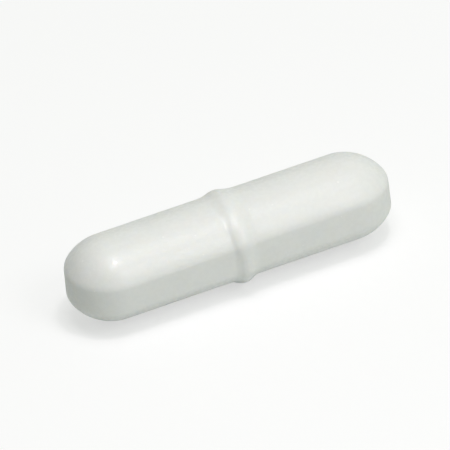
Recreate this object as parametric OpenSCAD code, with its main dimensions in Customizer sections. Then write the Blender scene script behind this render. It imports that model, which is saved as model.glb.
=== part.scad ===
// Magnetic stir bar: a moulded jacket with a pivot ring, sealed round a rod magnet.
//
// The bar lies along X and Z is up. The origin is under the middle of the bar,
// at the height of the surface that the pivot ring stands on.
// Seen from above the jacket is a straight bar with half-round ends. Across, it has
// an upright band at each side and a crown above and below. The same section turns
// round each end, so the band and the crowns run all the way round the bar.

/* [Jacket] */
// Overall length
bar_l = 30; // [22:1:60]
// Width across the two side bands
bar_w = 8; // [8:0.1:10]
// Thickness from crown to crown, beside the ring
bar_t = 7.4; // [7:0.1:8]
// Height of the upright band round the side
band_h = 2.6; // [2:0.1:4]
// Radius that softens the edge between the band and a crown
edge_r = 0.6; // [0.3:0.1:0.9]

/* [Pivot ring] */
// How far the ring stands proud of the jacket
ring_h = 0.4; // [0.2:0.05:0.6]
// Width of the ring between its two toes
ring_w = 2.6; // [2:0.1:4]
// Radius of the ring's rounded crest
crest_r = 1.2; // [0.5:0.1:1.3]
// How far the ring is from the middle, towards +X
ring_shift = 0.2; // [-1:0.1:1]

/* [Magnet] */
// Diameter of the magnet rod
magnet_d = 5; // [3:0.1:5.4]
// Bevel round each end of the rod
magnet_bevel = 0.4; // [0.2:0.1:0.8]
// Length of jacket beyond each end of the rod
end_wall = 3; // [2:0.1:6]

/* [Hidden] */

// Segments of a full circle
$fn = 96;
// Height of the bar's middle above the surface that the ring stands on
mid_z = bar_t / 2 + ring_h;
// Distance from the middle of the bar to the centre of each half-round end
end_x = (bar_l - bar_w) / 2;

// A crown is an arc over the bar's full width. Its rise above the band, its radius,
// and how far its centre lies beyond the middle of the section:
crown_rise = (bar_t - band_h) / 2;
crown_r = (pow(bar_w / 2, 2) + pow(crown_rise, 2)) / (2 * crown_rise);
crown_drop = crown_r - bar_t / 2;

// Centre of the small arc that is tangent to the band and to the crown, and the point
// where that arc meets the crown
edge_x = bar_w / 2 - edge_r;
edge_y = sqrt(pow(crown_r - edge_r, 2) - pow(edge_x, 2)) - crown_drop;
edge_angle = atan2(edge_y + crown_drop, edge_x);
meet_x = crown_r * cos(edge_angle);
meet_y = crown_r * sin(edge_angle) - crown_drop;

// The ring's profile is a crest arc between two hollow foot arcs. They are all tangent,
// so the sum of the two radii follows from the height and width. The toes are sunk a
// little, so that the ring's own solid starts inside the jacket.
toe_sink = 0.03;
foot_r = (pow(ring_w / 2, 2) + pow(ring_h + toe_sink, 2)) / (2 * (ring_h + toe_sink)) - crest_r;
join_x = (ring_h + toe_sink) * foot_r / (crest_r + foot_r) - toe_sink;
join_y = (ring_w / 2) * crest_r / (crest_r + foot_r);

// Length of the magnet rod
magnet_l = bar_l - 2 * end_wall;

// Places a shape drawn in XY and raised along Z so that it runs along the bar
module along_bar(x) translate([x, 0, mid_z]) rotate([90, 0, 90]) children();

// The bar's section: two crown arcs and two flat bands, with its four edges softened
module section() {
    intersection() {
        polygon([[-meet_x, meet_y], [-meet_x / 2, bar_t], [meet_x / 2, bar_t], [meet_x, meet_y],
                 [bar_w / 2, edge_y], [bar_w / 2, -edge_y],
                 [meet_x, -meet_y], [meet_x / 2, -bar_t], [-meet_x / 2, -bar_t], [-meet_x, -meet_y],
                 [-bar_w / 2, -edge_y], [-bar_w / 2, edge_y]]);
        translate([0, -crown_drop]) circle(r = crown_r);
        translate([0, crown_drop]) circle(r = crown_r);
    }
    for (x = [-edge_x, edge_x], y = [-edge_y, edge_y]) translate([x, y]) circle(r = edge_r);
}

// The half of the section that lies to the right of its upright centre line
module half_section() {
    intersection() {
        section();
        translate([0, -bar_t]) square([bar_w, 2 * bar_t]);
    }
}

// Half-round end: the half section turned about an upright axis
module round_end(turn) {
    rotate([0, 0, turn]) translate([end_x, 0, mid_z]) rotate([0, 0, -90])
        rotate_extrude(angle = 180) half_section();
}

// The ring's profile on a surface at radius r: X points outwards, Y along the bar
module ring_profile(r) {
    difference() {
        translate([0, -ring_w / 2]) polygon([[0, 0], [r - toe_sink, 0], [r + join_x, ring_w / 2 - join_y],
            [r + join_x, ring_w / 2 + join_y], [r - toe_sink, ring_w], [0, ring_w]]);
        for (side = [-1, 1])
            translate([r - toe_sink + foot_r, side * ring_w / 2]) circle(r = foot_r);
    }
    intersection() {
        translate([r + ring_h - crest_r, 0]) circle(r = crest_r);
        translate([r + join_x, -join_y]) square([ring_h, 2 * join_y]);
    }
}

// The ring on a full wheel with the radius of a crown
module crown_wheel() rotate_extrude() ring_profile(crown_r);

// The ring on two flat sides as far apart as the bands
module band_block() {
    rotate([90, 0, 0]) linear_extrude(2 * bar_t, center = true) {
        ring_profile(bar_w / 2);
        mirror([1, 0]) ring_profile(bar_w / 2);
    }
}

// The ring follows the section: it is what the two wheels and the block share
module pivot_ring() {
    intersection() {
        translate([0, -crown_drop, 0]) crown_wheel();
        translate([0, crown_drop, 0]) crown_wheel();
        band_block();
    }
}

// Rod with a bevel round each end
module magnet_shape() {
    along_bar(-magnet_l / 2) {
        cylinder(d1 = magnet_d - 2 * magnet_bevel, d2 = magnet_d, h = magnet_bevel);
        translate([0, 0, magnet_bevel]) cylinder(d = magnet_d, h = magnet_l - 2 * magnet_bevel);
        translate([0, 0, magnet_l - magnet_bevel])
            cylinder(d1 = magnet_d, d2 = magnet_d - 2 * magnet_bevel, h = magnet_bevel);
    }
}

// One moulding: bar and pivot ring, closed all round the magnet
module jacket() {
    color("white") difference() {
        union() {
            along_bar(-end_x) linear_extrude(2 * end_x) section();
            for (turn = [0, 180]) round_end(turn);
            along_bar(ring_shift) pivot_ring();
        }
        magnet_shape();
    }
}

// Solid rod that fills the hollow in the jacket
module magnet_rod() {
    color("dimgray") magnet_shape();
}

jacket();
magnet_rod();
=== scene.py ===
"""A white magnetic stir bar with a pivot ring, lying on a pale bench."""

import math

import bmesh
import bpy
from mathutils import Matrix, Vector


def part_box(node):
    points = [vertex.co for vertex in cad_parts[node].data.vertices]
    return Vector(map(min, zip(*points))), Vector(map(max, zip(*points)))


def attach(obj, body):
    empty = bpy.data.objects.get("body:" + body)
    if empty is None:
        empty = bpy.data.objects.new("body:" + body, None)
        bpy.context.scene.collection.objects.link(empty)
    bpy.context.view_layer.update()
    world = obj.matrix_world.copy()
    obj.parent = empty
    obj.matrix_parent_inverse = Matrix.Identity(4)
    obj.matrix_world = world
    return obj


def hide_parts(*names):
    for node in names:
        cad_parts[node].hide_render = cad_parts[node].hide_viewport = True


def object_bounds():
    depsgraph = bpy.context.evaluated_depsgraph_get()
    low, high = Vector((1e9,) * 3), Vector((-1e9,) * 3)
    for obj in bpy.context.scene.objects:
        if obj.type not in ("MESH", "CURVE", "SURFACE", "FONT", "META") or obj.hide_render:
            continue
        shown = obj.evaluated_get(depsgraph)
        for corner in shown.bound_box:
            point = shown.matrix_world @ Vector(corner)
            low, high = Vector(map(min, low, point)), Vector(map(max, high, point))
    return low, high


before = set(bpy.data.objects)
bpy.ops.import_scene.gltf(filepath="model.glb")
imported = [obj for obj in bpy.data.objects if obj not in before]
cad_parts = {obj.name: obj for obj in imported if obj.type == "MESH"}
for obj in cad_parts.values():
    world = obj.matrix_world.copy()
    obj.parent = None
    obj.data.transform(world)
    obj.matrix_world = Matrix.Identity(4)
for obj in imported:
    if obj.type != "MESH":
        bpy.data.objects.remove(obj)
cad_low, cad_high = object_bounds()

MM = 0.001

# ---------------------------------------------------------------- sizes, from the frame
jacket_low, jacket_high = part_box("jacket")
magnet_low, magnet_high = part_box("magnet_rod")

RING_RISE = 0.4 * MM
RING_HALF_WIDTH = 1.3 * MM
RING_CREST_RADIUS = 0.9 * MM
# How far the ring's middle is towards +X from the middle of the bar
RING_SHIFT = 0.2 * MM
# How far its crest moves towards -X on the front, and how much each foot spreads over the top
RING_LEAN = 0.18 * MM
RING_SPREAD = 0.3 * MM
# The ring is highest at this angle below the front, and loses twice this share of it opposite
RING_HIGH_SIDE = math.radians(70)
RING_UNEVEN = 0.14
# The share of its rise that it loses halfway from the front to the top
RING_DIP = 0.2
# The share by which its crest is broader at the top, and what halfway to the top adds to that
RING_TOP_BREADTH = 0.6
RING_CORNER_BREADTH = 1.6
BAND_HALF_HEIGHT = 1.3 * MM
EDGE_RADIUS = 1.0 * MM
# How far each end is turned about the bar's length, from the middle
TWIST = math.radians(-1.6)
MAGNET_BEVEL = 0.4 * MM

HALF_LENGTH = (jacket_high.x - jacket_low.x) / 2
HALF_WIDTH = (jacket_high.y - jacket_low.y) / 2 - RING_RISE
HALF_THICKNESS = (jacket_high.z - jacket_low.z) / 2 - RING_RISE
MID_Z = (jacket_high.z + jacket_low.z) / 2
END_X = HALF_LENGTH - HALF_WIDTH

# A crown is an arc over the bar's full width, and its centre lies beyond the middle
CROWN_RISE = HALF_THICKNESS - BAND_HALF_HEIGHT
CROWN_RADIUS = (HALF_WIDTH ** 2 + CROWN_RISE ** 2) / (2 * CROWN_RISE)
CROWN_DROP = CROWN_RADIUS - HALF_THICKNESS

# The small arc that is tangent to the crown and to the upright band
EDGE_Y = HALF_WIDTH - EDGE_RADIUS
EDGE_UP = math.sqrt((CROWN_RADIUS - EDGE_RADIUS) ** 2 - EDGE_Y ** 2) - CROWN_DROP
EDGE_ANGLE = math.atan2(EDGE_UP + CROWN_DROP, EDGE_Y)

ALONG = Vector((1, 0, 0))
UP = Vector((0, 0, 1))


# ---------------------------------------------------------------- mesh helpers
def sort_parts(parts, place):
    """Sorts vertices or faces by place, because operators leave them in a new order each run."""
    rank = {part: k for k, part in enumerate(sorted(parts, key=place))}
    parts.sort(key=lambda part: rank[part])


def finish_piece(bm, name, materials):
    """Makes the object at the origin, smooth shaded, with its place in its mesh."""
    sort_parts(bm.verts, lambda vert: tuple(vert.co))
    sort_parts(bm.faces, lambda face: tuple(face.calc_center_median()))
    mesh = bpy.data.meshes.new(name)
    bm.to_mesh(mesh)
    bm.free()
    mesh.shade_smooth()
    for material in materials:
        mesh.materials.append(material)
    piece = bpy.data.objects.new(name, mesh)
    bpy.context.scene.collection.objects.link(piece)
    return piece


def turn_end(bm, vert, centre, axis, angle, steps):
    """Draws an arc from vert by turning it about centre, and returns the arc's last vertex."""
    turned = bmesh.ops.spin(bm, geom=[vert], cent=centre, axis=axis, angle=angle, steps=steps)
    return turned["geom_last"][0]


def step_down(bm, vert, drop, steps):
    """Draws a straight line down from vert, and returns its last vertex."""
    for _ in range(steps):
        vert = bmesh.ops.extrude_vert_indiv(bm, verts=[vert])["verts"][0]
        vert.co.z -= drop / steps
    return vert


# ---------------------------------------------------------------- the jacket
CROWN_STEPS = 26
EDGE_STEPS = 8
BAND_STEPS = 8
CAP_STEPS = 56
SHANK_STEPS = 16
RING_STEPS = 28
# The sections are close together out to this distance from the ring's middle
RING_REACH = RING_HALF_WIDTH + 2 * RING_SPREAD + 0.1 * MM


def draw_half_outline(bm):
    """Draws the section's +Y half at x = END_X, from the top of the bar to the bottom."""
    centre_top = Vector((END_X, 0, MID_Z - CROWN_DROP))
    centre_low = Vector((END_X, 0, MID_Z + CROWN_DROP))
    edge_top = Vector((END_X, EDGE_Y, MID_Z + EDGE_UP))
    edge_low = Vector((END_X, EDGE_Y, MID_Z - EDGE_UP))
    crown_sweep = math.pi / 2 - EDGE_ANGLE
    vert = bm.verts.new((END_X, 0, MID_Z + HALF_THICKNESS))
    vert = turn_end(bm, vert, centre_top, ALONG, -crown_sweep, CROWN_STEPS)
    vert = turn_end(bm, vert, edge_top, ALONG, -EDGE_ANGLE, EDGE_STEPS)
    vert = step_down(bm, vert, 2 * EDGE_UP, BAND_STEPS)
    vert = turn_end(bm, vert, edge_low, ALONG, -EDGE_ANGLE, EDGE_STEPS)
    turn_end(bm, vert, centre_low, ALONG, -crown_sweep, CROWN_STEPS)


def close_end(bm):
    """Turns the half outline about the upright axis of the half-round end."""
    centre = Vector((END_X, 0, MID_Z))
    bmesh.ops.spin(bm, geom=bm.verts[:] + bm.edges[:], cent=centre, axis=UP,
                   angle=-math.pi, steps=CAP_STEPS)
    bmesh.ops.remove_doubles(bm, verts=bm.verts, dist=0.001 * MM)


def draw_shank(bm):
    """Carries the open section from the end to the middle, finely where the ring will be."""
    stations = [END_X + (RING_REACH + RING_SHIFT - END_X) * k / SHANK_STEPS
                for k in range(1, SHANK_STEPS + 1)]
    stations += [(RING_REACH + RING_SHIFT) * (1 - k / RING_STEPS)
                 for k in range(1, RING_STEPS + 1)]
    rim = [edge for edge in bm.edges if edge.is_boundary]
    for x in stations:
        made = bmesh.ops.extrude_edge_only(bm, edges=rim)["geom"]
        for vert in made:
            if isinstance(vert, bmesh.types.BMVert):
                vert.co.x = x
        rim = [edge for edge in made if isinstance(edge, bmesh.types.BMEdge) and edge.is_boundary]


def ring_height(x, around):
    """Height of the ring above the bar at x, and at an angle around the section from the front.
    The ring is a round crest between two hollow feet. Over the crown it is low and broad. On the
    front its crest is nearer -X, which makes that foot tight and the other one long."""
    front = math.cos(around)
    corner = max(0.0, math.sin(2 * around))
    rise = RING_RISE * (1 - RING_UNEVEN + RING_UNEVEN * math.cos(around + RING_HIGH_SIDE)
                        - RING_DIP * corner)
    crest_radius = RING_CREST_RADIUS * (1 + RING_TOP_BREADTH * (1 - front)
                                        + RING_CORNER_BREADTH * corner)
    crest_x = RING_SHIFT - RING_LEAN * front * abs(front)
    off = x - crest_x
    reach = (RING_HALF_WIDTH + RING_SPREAD * (1 - front)
             + math.copysign(RING_SHIFT - crest_x, off))
    foot_radius = (reach ** 2 + rise ** 2) / (2 * rise) - crest_radius
    join = reach * crest_radius / (crest_radius + foot_radius)
    if abs(off) < join:
        return rise - crest_radius + math.sqrt(crest_radius ** 2 - off ** 2)
    if abs(off) < reach:
        return foot_radius - math.sqrt(foot_radius ** 2 - (reach - abs(off)) ** 2)
    return 0.0


def raise_ring(bm):
    """Moves the section outwards along its own normals where the ring runs round it."""
    bm.normal_update()
    outwards = [(vert, vert.normal.copy()) for vert in bm.verts
                if abs(vert.co.x - RING_SHIFT) < RING_REACH]
    for vert, normal in outwards:
        normal.x = 0
        around = math.atan2(vert.co.z - MID_Z, -vert.co.y)
        vert.co += normal.normalized() * ring_height(vert.co.x, around)


def twist(bm):
    """Turns each section about the bar's length, in proportion to its distance from the middle."""
    for vert in bm.verts:
        turn = Matrix.Rotation(TWIST * vert.co.x / HALF_LENGTH, 3, "X")
        vert.co = turn @ (vert.co - Vector((0, 0, MID_Z))) + Vector((0, 0, MID_Z))


def magnet_pocket(bm):
    """Adds the sealed hollow that holds the magnet, with its faces towards the hollow."""
    radius = (magnet_high.y - magnet_low.y) / 2
    length = magnet_high.x - magnet_low.x
    place = Matrix.Translation((0, 0, MID_Z)) @ Matrix.Rotation(math.pi / 2, 4, "Y")
    made = bmesh.ops.create_cone(bm, cap_ends=True, segments=48, radius1=radius, radius2=radius,
                                 depth=length, matrix=place)
    rims = [edge for edge in {e for v in made["verts"] for e in v.link_edges}
            if abs(edge.verts[0].co.x - edge.verts[1].co.x) < 0.01 * MM]
    bevelled = bmesh.ops.bevel(bm, geom=rims, offset=MAGNET_BEVEL, segments=1, profile=0.5,
                               affect="EDGES", material=-1)
    faces = {face for vert in bevelled["verts"] for face in vert.link_faces}
    bmesh.ops.reverse_faces(bm, faces=list(faces))


def make_jacket(material):
    """One closed moulding: an end and a half shank, mirrored, with the ring, twist and pocket."""
    bm = bmesh.new()
    draw_half_outline(bm)
    close_end(bm)
    draw_shank(bm)
    bmesh.ops.mirror(bm, geom=bm.verts[:] + bm.edges[:] + bm.faces[:], axis="X",
                     merge_dist=0.001 * MM)
    bmesh.ops.recalc_face_normals(bm, faces=bm.faces)
    raise_ring(bm)
    twist(bm)
    magnet_pocket(bm)
    return finish_piece(bm, "moulded_jacket", [material])


# ---------------------------------------------------------------- materials
def add_node(tree, kind, at, **values):
    """Adds a node; a value whose name is a property sets it, and any other sets a socket."""
    node = tree.nodes.new(kind)
    node.location = at
    for name, value in values.items():
        socket = name.replace("_", " ")
        if socket in node.inputs:
            node.inputs[socket].default_value = value
        else:
            setattr(node, name, value)
    return node


def new_material(name):
    material = bpy.data.materials.new(name)
    material.use_nodes = True
    material.node_tree.nodes.clear()
    return material, material.node_tree


def mask_ramp(tree, at, low, high):
    """A ramp from 0 at low to 1 at high, for turning a noise into a mask."""
    return add_node(tree, "ShaderNodeMapRange", at, interpolation_type="SMOOTHSTEP",
                    From_Min=low, From_Max=high)


def surface_grain():
    """Group: the uneven surface of a pressed or cast part. It puts out a broad swell, a fine
    grain and scattered specks, each from 0 to 1, at the sizes that each material asks for."""
    group = bpy.data.node_groups.new("surface_grain", "ShaderNodeTree")
    socket = group.interface.new_socket
    socket("Place", in_out="INPUT", socket_type="NodeSocketVector")
    for name in ("Swell Scale", "Grain Scale", "Speck Scale", "Speck Size"):
        socket(name, in_out="INPUT", socket_type="NodeSocketFloat")
    for name in ("Swell", "Grain", "Specks"):
        socket(name, in_out="OUTPUT", socket_type="NodeSocketFloat")
    link = group.links.new
    inputs = add_node(group, "NodeGroupInput", (-900, 0))
    swell = add_node(group, "ShaderNodeTexNoise", (-600, 200), Detail=2.0, Roughness=0.5)
    grain = add_node(group, "ShaderNodeTexNoise", (-600, -50), Detail=3.0, Roughness=0.55)
    cells = add_node(group, "ShaderNodeTexVoronoi", (-600, -350), feature="F1")
    chosen = add_node(group, "ShaderNodeSeparateColor", (-350, -500))
    picked = add_node(group, "ShaderNodeMath", (-150, -500), operation="GREATER_THAN")
    picked.inputs[1].default_value = 0.72
    near = add_node(group, "ShaderNodeMath", (-350, -300), operation="LESS_THAN")
    specks = add_node(group, "ShaderNodeMath", (50, -350), operation="MULTIPLY")
    outputs = add_node(group, "NodeGroupOutput", (300, 0))
    for texture, scale in ((swell, "Swell Scale"), (grain, "Grain Scale"), (cells, "Speck Scale")):
        link(inputs.outputs["Place"], texture.inputs["Vector"])
        link(inputs.outputs[scale], texture.inputs["Scale"])
    link(cells.outputs["Color"], chosen.inputs["Color"])
    link(chosen.outputs["Red"], picked.inputs[0])
    link(cells.outputs["Distance"], near.inputs[0])
    link(inputs.outputs["Speck Size"], near.inputs[1])
    link(near.outputs["Value"], specks.inputs[0])
    link(picked.outputs["Value"], specks.inputs[1])
    link(swell.outputs["Fac"], outputs.inputs["Swell"])
    link(grain.outputs["Fac"], outputs.inputs["Grain"])
    link(specks.outputs["Value"], outputs.inputs["Specks"])
    return group


GRAIN = surface_grain()


def add_grain(tree, at, swell, grain, speck, speck_size):
    """Places the grain group, on Object coordinates, with a material's own sizes."""
    place = add_node(tree, "ShaderNodeTexCoord", (at[0] - 250, at[1]))
    node = add_node(tree, "ShaderNodeGroup", at, node_tree=GRAIN, Swell_Scale=swell,
                    Grain_Scale=grain, Speck_Scale=speck, Speck_Size=speck_size)
    tree.links.new(place.outputs["Object"], node.inputs["Place"])
    return node


# The clear shine on the polished tops of the white moulding's grain, where they face the camera
COAT_SHINE = 0.6


def moulding_colour(tree, grain, glint_dots):
    """White with faint clouds, a few grey specks, and small paler dots painted in as glints.
    Returns its output.
    """
    link = tree.links.new
    cloud = add_node(tree, "ShaderNodeMix", (-750, 400), data_type="RGBA")
    cloud.inputs["A"].default_value = (0.845, 0.85, 0.83, 1)
    cloud.inputs["B"].default_value = (0.875, 0.88, 0.865, 1)
    link(grain.outputs["Swell"], cloud.inputs["Factor"])
    specked = add_node(tree, "ShaderNodeMix", (-500, 400), data_type="RGBA")
    specked.inputs["B"].default_value = (0.6, 0.6, 0.56, 1)
    link(grain.outputs["Specks"], specked.inputs["Factor"])
    link(cloud.outputs["Result"], specked.inputs["A"])
    # Paler dots painted into the colour: painted highlights that stand in for glints
    painted_glint_dots = add_node(tree, "ShaderNodeMix", (-250, 400), data_type="RGBA")
    painted_glint_dots.inputs["B"].default_value = (0.96, 0.96, 0.94, 1)
    link(glint_dots.outputs["Specks"], painted_glint_dots.inputs["Factor"])
    link(specked.outputs["Result"], painted_glint_dots.inputs["A"])
    return painted_glint_dots.outputs["Result"]


def moulding_shine(tree, grain, glint_dots):
    """The coat on the polished tops and the dots, which fades at grazing angles."""
    link = tree.links.new
    polish = mask_ramp(tree, (-750, 50), 0.36, 0.62)
    link(grain.outputs["Grain"], polish.inputs["Value"])
    glossy = add_node(tree, "ShaderNodeMath", (-500, 50), operation="ADD")
    link(polish.outputs["Result"], glossy.inputs[0])
    link(glint_dots.outputs["Specks"], glossy.inputs[1])
    facing = add_node(tree, "ShaderNodeLayerWeight", (-750, -150), Blend=0.3)
    fade = add_node(tree, "ShaderNodeMapRange", (-500, -150), To_Min=COAT_SHINE, To_Max=0.0)
    link(facing.outputs["Facing"], fade.inputs["Value"])
    shine = add_node(tree, "ShaderNodeMath", (-250, 0), operation="MULTIPLY")
    link(glossy.outputs["Value"], shine.inputs[0])
    link(fade.outputs["Result"], shine.inputs[1])
    return shine.outputs["Value"]


def moulding_relief(tree, grain):
    """Broad shallow swells under a fine shallow pebble."""
    link = tree.links.new
    swell = add_node(tree, "ShaderNodeBump", (-500, -400), Strength=0.5, Distance=0.03 * MM)
    pebble = add_node(tree, "ShaderNodeBump", (-250, -400), Strength=1.0, Distance=0.014 * MM)
    link(grain.outputs["Swell"], swell.inputs["Height"])
    link(grain.outputs["Grain"], pebble.inputs["Height"])
    link(swell.outputs["Normal"], pebble.inputs["Normal"])
    return pebble.outputs["Normal"]


def white_moulding():
    """Sintered white fluoropolymer: satin, waxy and a little translucent, with fine glints from a
    clear coat on its grain, and with paler dots painted into its colour as glints.
    """
    material, tree = new_material("white_moulding")
    link = tree.links.new
    grain = add_grain(tree, (-1100, 100), swell=420.0, grain=2600.0, speck=260.0, speck_size=0.03)
    # Scattered dots that get the clear coat and are also painted paler, as painted glints
    glint_dots = add_grain(tree, (-1100, -300), swell=420.0, grain=2600.0, speck=1100.0, speck_size=0.1)
    matt = add_node(tree, "ShaderNodeMapRange", (-250, 200), To_Min=0.36, To_Max=0.44)
    link(grain.outputs["Swell"], matt.inputs["Value"])
    surface = add_node(tree, "ShaderNodeBsdfPrincipled", (0, 0), IOR=1.36, Subsurface_Weight=0.6,
                       Subsurface_Radius=(1.0, 0.9, 0.75), Subsurface_Scale=0.8 * MM,
                       Coat_Roughness=0.2, Coat_IOR=1.45)
    link(moulding_colour(tree, grain, glint_dots), surface.inputs["Base Color"])
    link(matt.outputs["Result"], surface.inputs["Roughness"])
    link(moulding_shine(tree, grain, glint_dots), surface.inputs["Coat Weight"])
    link(moulding_relief(tree, grain), surface.inputs["Normal"])
    out = add_node(tree, "ShaderNodeOutputMaterial", (300, 0))
    link(surface.outputs["BSDF"], out.inputs["Surface"])
    return material


def cast_magnet():
    """Dull grey cast magnet alloy, with small pits."""
    material, tree = new_material("cast_magnet")
    link = tree.links.new
    grain = add_grain(tree, (-1000, 0), swell=500.0, grain=3000.0, speck=1200.0, speck_size=0.2)
    tint = add_node(tree, "ShaderNodeMix", (-500, 300), data_type="RGBA")
    tint.inputs["A"].default_value = (0.16, 0.16, 0.17, 1)
    tint.inputs["B"].default_value = (0.34, 0.34, 0.35, 1)
    link(grain.outputs["Grain"], tint.inputs["Factor"])
    pitted = add_node(tree, "ShaderNodeMix", (-250, 300), data_type="RGBA")
    pitted.inputs["B"].default_value = (0.07, 0.065, 0.06, 1)
    link(grain.outputs["Specks"], pitted.inputs["Factor"])
    link(tint.outputs["Result"], pitted.inputs["A"])
    gloss = add_node(tree, "ShaderNodeMapRange", (-250, 50), To_Min=0.35, To_Max=0.6)
    link(grain.outputs["Swell"], gloss.inputs["Value"])
    bump = add_node(tree, "ShaderNodeBump", (-250, -300), Strength=0.6, Distance=0.02 * MM)
    link(grain.outputs["Grain"], bump.inputs["Height"])
    surface = add_node(tree, "ShaderNodeBsdfPrincipled", (0, 0), Metallic=1.0)
    link(pitted.outputs["Result"], surface.inputs["Base Color"])
    link(gloss.outputs["Result"], surface.inputs["Roughness"])
    link(bump.outputs["Normal"], surface.inputs["Normal"])
    out = add_node(tree, "ShaderNodeOutputMaterial", (300, 0))
    link(surface.outputs["BSDF"], out.inputs["Surface"])
    return material


# The glow that the camera alone sees on the floor
FLOOR_LIFT = 0.58


def pale_bench():
    """A plain matt floor. The camera sees it whiter, with a fainter shadow, than it lights."""
    material, tree = new_material("pale_bench")
    link = tree.links.new
    seen = add_node(tree, "ShaderNodeLightPath", (-700, 0))
    tint = add_node(tree, "ShaderNodeMix", (-300, 100), data_type="RGBA")
    tint.inputs["A"].default_value = (0.785, 0.805, 0.8, 1)
    tint.inputs["B"].default_value = (0.42, 0.42, 0.42, 1)
    lift = add_node(tree, "ShaderNodeMapRange", (-300, -200), To_Min=0.0, To_Max=FLOOR_LIFT)
    surface = add_node(tree, "ShaderNodeBsdfPrincipled", (0, 0), Roughness=0.8,
                       Emission_Color=(1, 1, 1, 1))
    link(seen.outputs["Is Camera Ray"], tint.inputs["Factor"])
    link(seen.outputs["Is Camera Ray"], lift.inputs["Value"])
    link(tint.outputs["Result"], surface.inputs["Base Color"])
    link(lift.outputs["Result"], surface.inputs["Emission Strength"])
    out = add_node(tree, "ShaderNodeOutputMaterial", (300, 0))
    link(surface.outputs["BSDF"], out.inputs["Surface"])
    return material


# ---------------------------------------------------------------- stage, light and camera
LAMP_COLOUR = (1.0, 0.965, 1.0)
# The room's strength as a light, and as the camera sees it
ROOM_LIGHT = 0.325
ROOM_SEEN = 0.9


def make_floor():
    """A wide level floor that the bar lies on."""
    bm = bmesh.new()
    bmesh.ops.create_grid(bm, x_segments=1, y_segments=1, size=1.5)
    bmesh.ops.translate(bm, verts=bm.verts, vec=(0, 0, cad_low.z))
    floor = finish_piece(bm, "bench", [pale_bench()])


def add_softbox(name, place, size, power, aim):
    """An area light at place that points at aim."""
    light = bpy.data.lights.new(name, "AREA")
    light.shape = "RECTANGLE"
    light.size, light.size_y = size
    light.energy = power
    light.color = LAMP_COLOUR
    holder = bpy.data.objects.new(name, light)
    bpy.context.scene.collection.objects.link(holder)
    holder.location = place
    holder.rotation_euler = (Vector(aim) - Vector(place)).to_track_quat("-Z", "Y").to_euler()
    return holder


def around(azimuth, elevation, distance):
    """A place seen from the bar's middle: azimuth 0 is -Y and 90 is +X, elevation 90 is up."""
    flat = math.cos(math.radians(elevation))
    turn = math.radians(azimuth)
    return Vector((math.sin(turn) * flat, -math.cos(turn) * flat,
                   math.sin(math.radians(elevation)))) * distance


def make_room():
    """A pale room, darker low down towards -X. The camera sees it brighter than it lights."""
    world = bpy.data.worlds.new("studio")
    world.use_nodes = True
    tree = world.node_tree
    link = tree.links.new
    sky = tree.nodes["Background"]
    place = add_node(tree, "ShaderNodeTexCoord", (-900, 0))
    along = add_node(tree, "ShaderNodeVectorMath", (-700, 0), operation="DOT_PRODUCT")
    along.inputs[1].default_value = (1.0, 0.0, 0.4)
    side = mask_ramp(tree, (-500, 0), -0.9, 0.3)
    shade = add_node(tree, "ShaderNodeMix", (-300, 0), data_type="RGBA")
    shade.inputs["A"].default_value = (0.12, 0.13, 0.1, 1)
    shade.inputs["B"].default_value = (0.87, 1.0, 0.83, 1)
    seen = add_node(tree, "ShaderNodeLightPath", (-500, -300))
    strength = add_node(tree, "ShaderNodeMapRange", (-300, -300), To_Min=ROOM_LIGHT,
                        To_Max=ROOM_SEEN)
    link(place.outputs["Generated"], along.inputs[0])
    link(along.outputs["Value"], side.inputs["Value"])
    link(side.outputs["Result"], shade.inputs["Factor"])
    link(shade.outputs["Result"], sky.inputs["Color"])
    link(seen.outputs["Is Camera Ray"], strength.inputs["Value"])
    link(strength.outputs["Result"], sky.inputs["Strength"])
    bpy.context.scene.world = world


def make_light():
    """The room, two large softboxes, and a small lamp that makes the highlights."""
    make_room()
    middle = Vector((0, 0, MID_Z))
    add_softbox("overhead", middle + around(5, 80, 0.4), (0.22, 0.22), 0.72, middle)
    add_softbox("front", middle + around(25, 45, 0.4), (0.15, 0.15), 0.28, middle)
    add_softbox("high_lamp", middle + around(24, 76, 0.4), (0.035, 0.035), 0.2, middle)


# The camera looks at the bar's front from above and from a little to -X, with no perspective
CAMERA_AZIMUTH = math.radians(-20.9)
CAMERA_ELEVATION = math.radians(34.2)
CAMERA_ROLL = math.radians(6.8)
CAMERA_DISTANCE = 400 * MM
VIEW_WIDTH = 38.56 * MM
# How far the bar's centre is right of and below the middle of the picture
CENTRE_RIGHT = 0.2 * MM
CENTRE_BELOW = 0.97 * MM


def make_camera():
    """Puts the orthographic camera on its line of sight, turned by the roll."""
    azimuth, elevation = CAMERA_AZIMUTH, CAMERA_ELEVATION
    back = Vector((math.sin(azimuth) * math.cos(elevation),
                   -math.cos(azimuth) * math.cos(elevation), math.sin(elevation)))
    level = back.to_track_quat("Z", "Y").to_matrix()
    turned = level @ Matrix.Rotation(-CAMERA_ROLL, 3, "Z")
    right, up = turned.col[0], turned.col[1]
    camera = bpy.data.cameras.new("camera")
    camera.type = "ORTHO"
    camera.ortho_scale = VIEW_WIDTH
    camera.clip_start, camera.clip_end = 0.01, 10
    holder = bpy.data.objects.new("camera", camera)
    bpy.context.scene.collection.objects.link(holder)
    aim = Vector((0, 0, MID_Z)) - right * CENTRE_RIGHT + up * CENTRE_BELOW
    holder.matrix_world = (Matrix.Translation(aim + back * CAMERA_DISTANCE)
                           @ turned.to_4x4())
    bpy.context.scene.camera = holder


# ---------------------------------------------------------------- build
jacket = make_jacket(white_moulding())
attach(jacket, "root")
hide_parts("jacket")

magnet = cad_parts["magnet_rod"]
magnet.data.materials.clear()
magnet.data.materials.append(cast_magnet())

make_floor()
make_light()
make_camera()
bpy.context.scene.view_settings.view_transform = "Standard"
